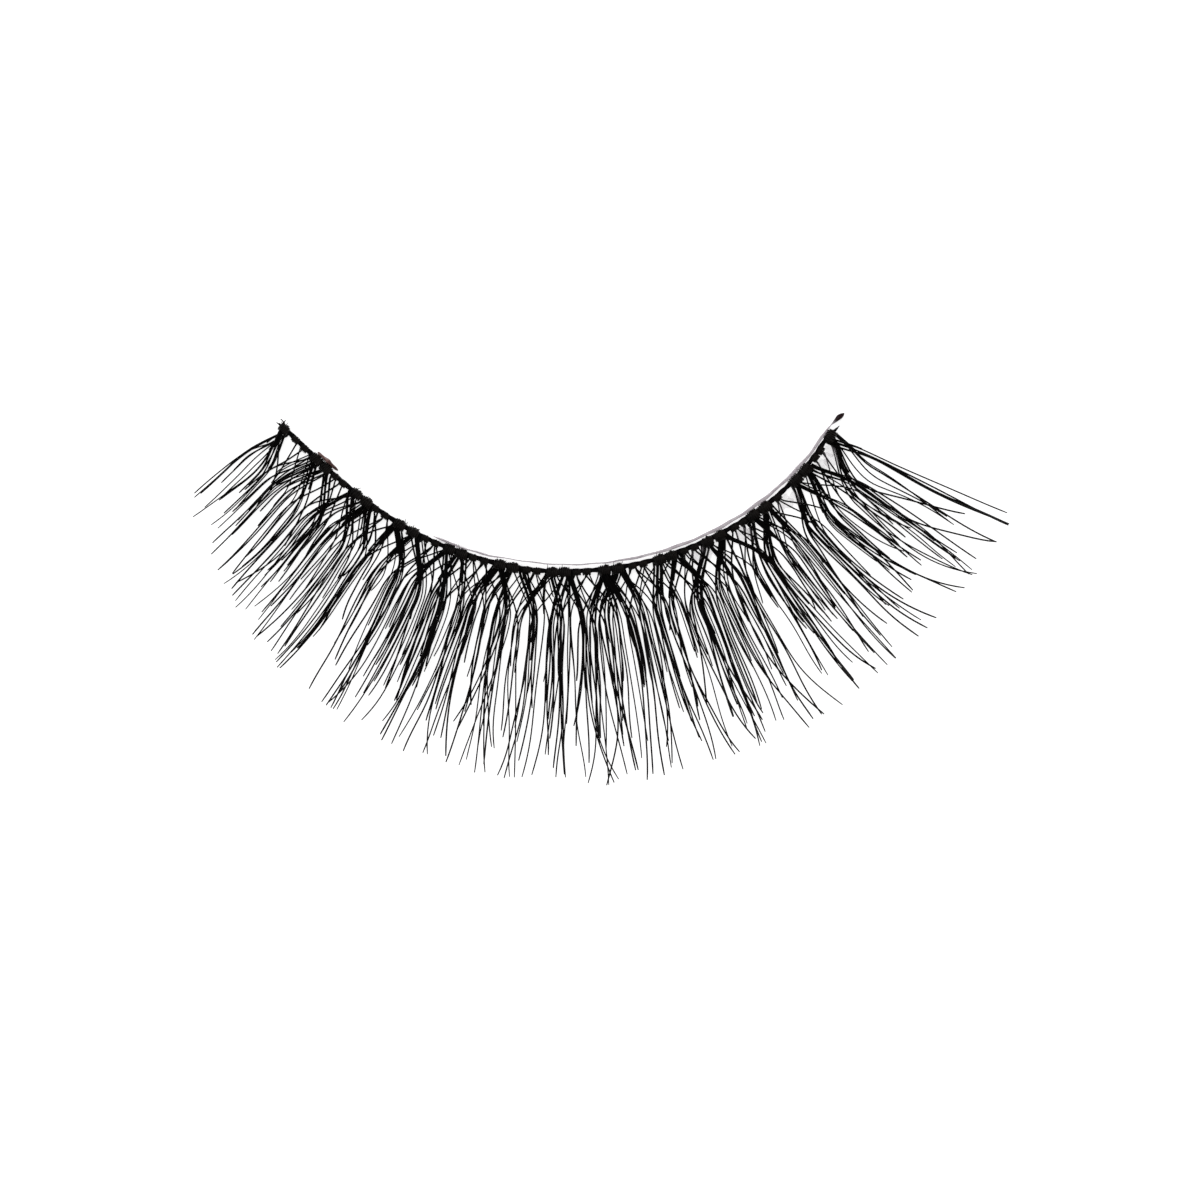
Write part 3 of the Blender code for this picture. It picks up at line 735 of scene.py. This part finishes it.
# Where each cluster's knots sit, in steps along the cord, and their size against a full one.
knotPlaces = (((0,), 0.86), ((44, 57), 0.98), ((97, 110), 0.98), ((150, 165), 0.98), ((205, 218), 0.98),
              ((258, 271), 0.98), ((311, 323), 0.98), ((363, 376), 0.98), ((419, 431), 0.98),
              ((470, 484), 0.98), ((523, 537), 1.07), ((578, 592), 1.08), ((634,), 1.06))

# Single knots between the clusters, with fine hairs to the left and to the right.
lattice = {
    "knots": (16, 28, 69, 80, 121, 133, 179, 190, 230, 242, 285, 295,
              335, 345, 391, 402, 445, 456, 501, 511, 553, 565, 608, 617),
    "size": 0.67,
    "nearest": 35,  # steps past a cluster's middle up to which it takes them in
    "travels": (14.0, 25.0),  # how far along the cord their hairs run to either side
    "travelScatter": 2,
    "sparseUpTo": 100,  # steps from the left end within which a knot has only the nearer hairs
    "knotTravel": 29.0,  # and a single hair from each side of a cluster's knots
    "rootShift": 1.5,  # that a hair starts from the middle of its knot
    "lanes": (8, 620),  # steps between which they end
    "drift": 1.5,  # steps sideways on the way to the far column
    "tipDrift": 3,  # times that at the tip
    "middleShift": 99,  # that the middle is taken to be off, so that none leaves on the inner side
    "reachShare": (0.33, 0.97),  # of the reach below
    # steps along the cord, how far out the lashes reach there
    "reach": ((0, 115), (45, 150), (100, 175), (150, 192), (200, 200), (320, 208), (370, 210), (475, 205),
              (530, 198), (634, 196)),
}


def latticeRows(at, travels, noise):
    # Rows as in the hair chart, from a knot to a lane on either side.
    rows = []
    for side in (-1, 1):
        for travel in travels:
            lane = at + side * (travel + noise.uniform(-lattice["travelScatter"], lattice["travelScatter"]))
            reach = tableAt(lattice["reach"], lane) * noise.uniform(*lattice["reachShare"])
            drift = noise.uniform(-lattice["drift"], lattice["drift"])
            if lattice["lanes"][0] < lane < lattice["lanes"][1]:
                leave = at + side * lattice["rootShift"]
                rows.append((leave, lane, drift, drift * lattice["tipDrift"], reach))
    return rows


for number, (node, rows) in enumerate(lashChart.items(), start=1):
    spots, size = knotPlaces[number - 1]
    noise = np.random.default_rng(lash["seed"] + number)
    skins = Skins()
    middle = np.mean(spots)
    addLashes(skins, rows, middle, noise)
    singles = [spot for spot in lattice["knots"] if 0 < spot - middle < lattice["nearest"]]
    for spot in singles:
        travels = lattice["travels"] if spot > lattice["sparseUpTo"] else lattice["travels"][:1]
        addLashes(skins, latticeRows(spot, travels, noise), spot + lattice["middleShift"], noise)
    for spot in spots:
        rows = latticeRows(spot, (lattice["knotTravel"],), noise)
        addLashes(skins, rows, spot + lattice["middleShift"], noise)
    skins.piece(f"lashHair{number:02d}", lashFibre, node, "lash_fibre")

    skins = Skins()
    for spot in spots:
        addKnot(skins, spot * chartStep, size, noise)
        addStubs(skins, spot * chartStep, size, noise)
    for spot in singles:
        addKnot(skins, spot * chartStep, lattice["size"], noise)
    if number == 1:
        addFray(skins)
    skins.piece(f"woundKnot{number:02d}", woundFibre, node, "lash_fibre")
print("lashes and knots made")


# The cord

cord = {
    "seed": 7,
    "plies": 2,
    "twistPitch": 0.62 * mm,
    "groove": 0.22,  # depth of the groove between the plies, share of the radius
    "uneven": 0.03,  # share of the radius
    "samples": 900,
    "sides": 14,
    "leftTail": 0.42 * mm,  # what is left of the cord past the first knot, where it is frayed
    "tailThinnest": 0.08,  # of the radius, before rounding
    "tailRound": 0.7,
    "tone": 0.4,
}

fuzz = {
    "count": 70,
    "length": 0.17 * mm,
    "lengthRange": (0.3, 1.0),
    "thickness": 0.014 * mm,
    "taper": 0.6,
    "rootShare": 0.42,  # of the cord's thickness, out from its middle
    "rise": 0.7,  # of its length that it stands out
    "curl": 0.6,  # radians that it turns round the cord
    "lowest": 0.01 * mm,
    "samples": 7,
    "sides": 4,
    "reference": (0.2, 0.3, 1.0),
    "tone": 0.8,
}


def cordSkin():
    # A tube whose radius falls in grooves that turn along the cord: radius times 1 minus the groove times 1
    # less the absolute cosine of the turn less the twist, tapered to both tails.
    noise = np.random.default_rng(cord["seed"])
    start, end = -cord["leftTail"], strip["bandLength"] + strip["tailLength"]
    along = np.linspace(start, end, cord["samples"])
    past = np.maximum(-along * strip["tailLength"] / cord["leftTail"], along - strip["bandLength"])
    taper = np.clip(1 - past / strip["tailLength"], cord["tailThinnest"], 1) ** cord["tailRound"]
    turn = np.linspace(0, 2 * np.pi, cord["sides"], endpoint=False)
    twist = 2 * np.pi * along / cord["twistPitch"] / cord["plies"]
    lobes = np.abs(np.cos((turn[None] - twist[:, None]) * cord["plies"] / 2))
    radius = strip["cordDiameter"] / 2 * taper[:, None] * (1 - cord["groove"] * (1 - lobes))
    radius = radius * (1 + noise.uniform(-cord["uneven"], cord["uneven"], radius.shape))
    skins = Skins()
    height = strip["cordHeight"] + radius * np.sin(turn)
    share = (along - start) / (end - start)
    skins.addSleeve(along, leanAt(along)[:, None] + radius * np.cos(turn), height, share, cord["tone"])
    addFuzz(skins, start, end, noise)
    return skins


def addFuzz(skins, start, end, noise):
    # Fine fibres that stand out of the cord: each starts on it, turns round it and slides along it with the
    # square of the way to its tip.
    count = fuzz["count"]
    root = noise.uniform(start, end, count)[:, None]
    turn = noise.uniform(0, 2 * np.pi, count)[:, None]
    step = np.linspace(0, 1, fuzz["samples"])[None]
    long = fuzz["length"] * noise.uniform(*fuzz["lengthRange"], count)[:, None]
    radius = strip["cordDiameter"] * fuzz["rootShare"] + long * step * fuzz["rise"]
    slide = long * step ** 2 * noise.uniform(-1, 1, count)[:, None]
    turn = turn + step * fuzz["curl"]
    rise = np.maximum(strip["cordHeight"] + radius * np.sin(turn), fuzz["lowest"])
    paths = place(root + slide, radius * np.cos(turn), rise)
    thick = fuzz["thickness"] * (1 - fuzz["taper"] * step) + np.zeros((count, 1))
    skins.addTubes(paths, thick, fuzz["sides"], np.array(fuzz["reference"]), fuzz["tone"])


cordSkin().piece("cordTwist", cordCotton, "band_thread", "band_thread")
print("cord made")


# The adhesive

adhesiveLook = {
    "cloudDetail": 4.0,
    "cloudFrom": (0.3, 0.7),  # of the noise
    "cloudTo": (0.75, 1.15),  # times the opacity
    "stainSharpness": 90.0,
    "roughness": 0.5,
    "gloss": 0.2,
    "relief": 0.4,
    "reliefDepth": 0.03 * mm,
}

# Colour and opacity, the same past the share of the run where the stain starts, and how fine the clouds are.
adhesives = {
    "filmClear": {"clear": (0.50, 0.43, 0.48, 1), "alpha": 0.62, "stain": (0.016, 0.003, 0.005, 1),
                  "stainAlpha": 1.0, "stainStart": 1.016, "grain": 2500.0},
    "webHaze": {"clear": (0.55, 0.50, 0.54, 1), "alpha": 0.16, "stain": (0.5, 0.5, 0.5, 1),
                "stainAlpha": 0.16, "stainStart": 2.0, "grain": 5000.0},
    "dabBrown": {"clear": (0.22, 0.11, 0.10, 1), "alpha": 0.85, "stain": (0.10, 0.045, 0.04, 1),
                 "stainAlpha": 0.9, "stainStart": 0.5, "grain": 4000.0},
}


def adhesiveCloudGroup():
    # Clear skin that turns to the stain's colour past a share of its run, clouded by a noise on its place.
    group, given, result = newGroup("adhesiveCloud", (
        ("Share", "Float", 0.0), ("Clear Colour", "Color", (0.5, 0.5, 0.5, 1)),
        ("Clear Opacity", "Float", 0.5), ("Stain Colour", "Color", (0.1, 0.1, 0.1, 1)),
        ("Stain Opacity", "Float", 1.0), ("Stain Start", "Float", 1.0), ("Grain Size", "Float", 4000.0),
    ), (("Colour", "Color"), ("Opacity", "Float"), ("Roughness", "Float"), ("Height", "Float")))
    grain = grainNode(group, given["Grain Size"], adhesiveLook["cloudDetail"])
    past = mathNode(group, "SUBTRACT", given["Share"], given["Stain Start"])
    stained = mathNode(group, "MULTIPLY", past, adhesiveLook["stainSharpness"], clamp=True)
    cloud = rangeNode(group, grain, adhesiveLook["cloudFrom"], adhesiveLook["cloudTo"])
    dense = rangeNode(group, stained, (0.0, 1.0), (given["Clear Opacity"], given["Stain Opacity"]))
    feed(group, result["Colour"], mixColours(group, stained, given["Clear Colour"], given["Stain Colour"]))
    feed(group, result["Opacity"], mathNode(group, "MULTIPLY", dense, cloud, clamp=True))
    feed(group, result["Roughness"], mathNode(group, "MULTIPLY", grain, adhesiveLook["roughness"]))
    feed(group, result["Height"], grain)
    return group


adhesiveCloud = adhesiveCloudGroup()


def adhesiveMaterial(name, clear, alpha, stain, stainAlpha, stainStart, grain):
    values = {"Clear Colour": clear, "Clear Opacity": alpha, "Stain Colour": stain,
              "Stain Opacity": stainAlpha, "Stain Start": stainStart, "Grain Size": grain}
    return groupMaterial(name, adhesiveCloud, values, adhesiveLook["relief"], adhesiveLook["reliefDepth"],
                         adhesiveLook["gloss"])


filmClear, webHaze, dabBrown = (adhesiveMaterial(name, **look) for name, look in adhesives.items())

film = {
    "seed": 21,
    "thickness": 0.075 * mm,
    "height": 0.46 * mm,
    "squareness": 0.6,  # power that squares its oval section: 1 leaves it round
    "samples": 260,
    "sides": 14,
    "endLength": 5,  # steps over which its ends get thinner
    "endThinnest": 0.05,
    "sway": 0.25,  # steps in and out
    "jitter": 0.05,
    "widthSwell": 0.15,
    "heightSwell": 0.06,
    "swayRate": 0.21,  # radians to a chart step
    "widthRate": 0.13,
    "heightRate": 0.31,
    # steps along the cord, how far out the film lies there, how wide it is against its thickness
    "run": ((184, -5.6, 0.6), (200, -5.4, 1.5), (240, -5.8, 1.2), (262, -7.2, 0.8), (275, -7.8, 0.9),
            (360, -8.0, 1.0), (380, -8.0, 1.4), (420, -7.8, 2.2), (520, -7.8, 2.5), (600, -7.6, 2.5),
            (630, -6.9, 2.1), (640, -6.0, 1.2), (645, -4.6, 0.9), (649, -3.0, 2.4), (655, -1.4, 4.8),
            (659, -0.2, 5.4), (661, 0.6, 5.2)),
}


def squared(wave):
    # A power of the wave that keeps its sign, so that an oval fills out its corners.
    return np.sign(wave) * np.abs(wave) ** film["squareness"]


def filmSkin():
    # A ribbon on edge: a ring of a squared oval, half the thickness times the squared cosine and half the
    # height times the squared sine, carried along the run in the table.
    noise = np.random.default_rng(film["seed"])
    table = np.array(film["run"]).T
    steps = np.linspace(table[0, 0], table[0, -1], film["samples"])
    out = np.interp(steps, table[0], table[1]) + film["sway"] * np.sin(steps * film["swayRate"])
    out = out + noise.normal(0, film["jitter"], len(steps))
    wide = 1 + film["widthSwell"] * np.sin(steps * film["widthRate"] + 1)
    wide = np.interp(steps, table[0], table[2]) * wide
    tall = 1 + film["heightSwell"] * np.sin(steps * film["heightRate"])
    toEnd = np.minimum(steps - steps[0], steps[-1] - steps) / film["endLength"]
    ends = np.sqrt(np.clip(toEnd, film["endThinnest"], 1))
    turn = np.linspace(0, 2 * np.pi, film["sides"], endpoint=False)
    across = (wide * ends)[:, None] * film["thickness"] / 2 * squared(np.cos(turn))
    upright = (ends * tall)[:, None] * film["height"] / 2 * squared(np.sin(turn))
    skins = Skins()
    skins.addSleeve(steps * chartStep, out[:, None] * chartStep + across, strip["cordHeight"] + upright,
                    steps / strip["chartSteps"])
    return skins


filmSkin().piece("adhesiveFilm", filmClear, "adhesive_film", "adhesive_film")

webs = {
    "seed": 33,
    "thickness": 0.03 * mm,
    "thinnest": 0.002,  # at the middle of the top and of the underside
    "rings": 7,
    "sides": 28,
    "under": 0.02 * mm,  # how far it hangs below the hairs
    "edgeWaves": ((3, 0.16), (5, 0.10)),  # waves round the edge, and their share of its size
    # steps: middle along the cord, middle out, half length along, half width out
    "patches": ((196, -5.5, 6, 2.2), (214, -6.0, 9, 1.6), (236, -6.5, 7, 1.8), (372, -7, 9, 1.4),
                (455, 8, 7, 6), (466, 9, 5, 7), (505, 9, 8, 7), (512, 14, 5, 6), (556, 9, 8, 7),
                (566, 12, 5, 8), (606, 9, 6, 6), (615, 13, 7, 9), (622, 8, 5, 6)),
}


def websSkin():
    # Thin translucent pale lilac skins between the hairs, just under them: flat lenses whose edge is an oval
    # made uneven by two waves. At a share of the half thickness, the size is the root of 1 minus the square
    # of that share.
    noise = np.random.default_rng(webs["seed"])
    skins = Skins()
    level = np.linspace(-1, 1, 2 * webs["rings"] + 1)[:, None]
    size = np.sqrt(np.clip(1 - level ** 2, webs["thinnest"], 1))
    turn = np.linspace(0, 2 * np.pi, webs["sides"], endpoint=False)[None]
    for middle, out, halfLength, halfWidth in webs["patches"]:
        edge = 1
        for waves, share in webs["edgeWaves"]:
            edge = edge + share * np.sin(waves * turn + noise.uniform(0, 6))
        along = (middle + halfLength * size * edge * np.cos(turn)) * chartStep
        away = (out + halfWidth * size * edge * np.sin(turn)) * chartStep
        hairs = curlHeight(np.maximum(away, 0), strip["curlRadius"]) + lash["layer"]
        rest = np.minimum(hairs, strip["cordHeight"])
        lens = place(along, away, rest - webs["under"] + level * webs["thickness"] / 2)
        skins.add(wrap(lens[None, :, ::-1]), np.full(along.size, 0.5))
    return skins


# The pale lilac skins between the hairs.
websSkin().piece("lilacSkins", webHaze, "adhesive_film", "adhesive_film")

dab = {
    "start": 40.0,  # steps
    "end": 68.0,
    "out": -6.2,
    "width": 0.21 * mm,
    "height": 0.40 * mm,
    "endRound": 0.45,
    "endThinnest": 0.03,
    # how much its size wavers along it and round it, and how fast
    "swell": 0.18,
    "swellRate": 15,
    "lumps": 0.10,
    "lumpsRound": 3,
    "lumpsTwist": 9,
    "samples": 60,
    "sides": 20,
}


def dabSkin():
    # A lump along the cord: an oval ring whose size follows a power of the sine of its place, with two slow
    # waves that make it uneven.
    share = np.linspace(0, 1, dab["samples"])
    steps = dab["start"] + (dab["end"] - dab["start"]) * share
    size = np.maximum(np.sin(np.pi * share) ** dab["endRound"], dab["endThinnest"])
    size = size * (1 + dab["swell"] * np.sin(share * dab["swellRate"] + 0.6))
    turn = np.linspace(0, 2 * np.pi, dab["sides"], endpoint=False)
    uneven = 1 + dab["lumps"] * np.sin(dab["lumpsRound"] * turn[None] + share[:, None] * dab["lumpsTwist"])
    across = size[:, None] * uneven * dab["width"] / 2 * np.cos(turn)
    upright = size[:, None] * uneven * dab["height"] / 2 * np.sin(turn)
    skins = Skins()
    skins.addSleeve(steps * chartStep, dab["out"] * chartStep + across, strip["cordHeight"] + upright, share)
    return skins


dabSkin().piece("adhesiveDab", dabBrown, "adhesive_dab", "adhesive_dab")
print("adhesive made")


# The floor, the light and the camera

studio = {
    "floorSize": 2.0,
    "floorWhite": 0.90,
    "floorRoughness": 0.9,
    "floorGloss": 0.1,
    "floorGlow": 0.75,  # so that the floor stays white under the lashes, as in the picture
    "skyStrength": 0.40,  # what the sky gives as light; the camera sees it white
    "lampPlace": (-0.12, 0.16, 0.30),
    "lampTurn": (-28, -22, 0),  # degrees
    "lampSize": 0.35,
    "lampPower": 0.35,
}
white = (1, 1, 1, 1)

floorMesh = bpy.data.meshes.new("whiteFloor")
half = studio["floorSize"] / 2
corners = [(-half, -half, 0), (half, -half, 0), (half, half, 0), (-half, half, 0)]
floorMesh.from_pydata(corners, [], [(0, 1, 2, 3)])
whiteFloor = bpy.data.objects.new("whiteFloor", floorMesh)
bpy.context.scene.collection.objects.link(whiteFloor)
paper, _, paperShader = newMaterial("whitePaper")
for label, value in (("Base Color", (studio["floorWhite"],) * 3 + (1,)), ("Emission Color", white),
                     ("Roughness", studio["floorRoughness"]), ("Specular IOR Level", studio["floorGloss"]),
                     ("Emission Strength", studio["floorGlow"])):
    paperShader.inputs[label].default_value = value
floorMesh.materials.append(paper)

world = bpy.data.worlds.new("softDaylight")
world.use_nodes = True
sky = world.node_tree
rays = sky.nodes.new("ShaderNodeLightPath")
seen = mathNode(sky, "MULTIPLY_ADD", rays.outputs["Is Camera Ray"], 1 - studio["skyStrength"])
seen.node.inputs[2].default_value = studio["skyStrength"]
sky.links.new(seen, sky.nodes["Background"].inputs["Strength"])
sky.nodes["Background"].inputs["Color"].default_value = white
bpy.context.scene.world = world

lampData = bpy.data.lights.new("softLamp", "AREA")
lampData.size = studio["lampSize"]
lampData.energy = studio["lampPower"]
lamp = bpy.data.objects.new("softLamp", lampData)
lamp.location = studio["lampPlace"]
lamp.rotation_euler = np.radians(studio["lampTurn"])
bpy.context.scene.collection.objects.link(lamp)

cameraData = bpy.data.cameras.new("straightAbove")
cameraData.lens = camera["lens"]
cameraData.sensor_width = camera["sensor"]
cameraData.clip_start = camera["nearest"]
eye = bpy.data.objects.new("straightAbove", cameraData)
eye.location = (aim[0], aim[1], aim[2] + cameraDistance)
bpy.context.scene.collection.objects.link(eye)
bpy.context.scene.camera = eye
bpy.context.scene.view_settings.view_transform = "Standard"
print("floor, light and camera made")
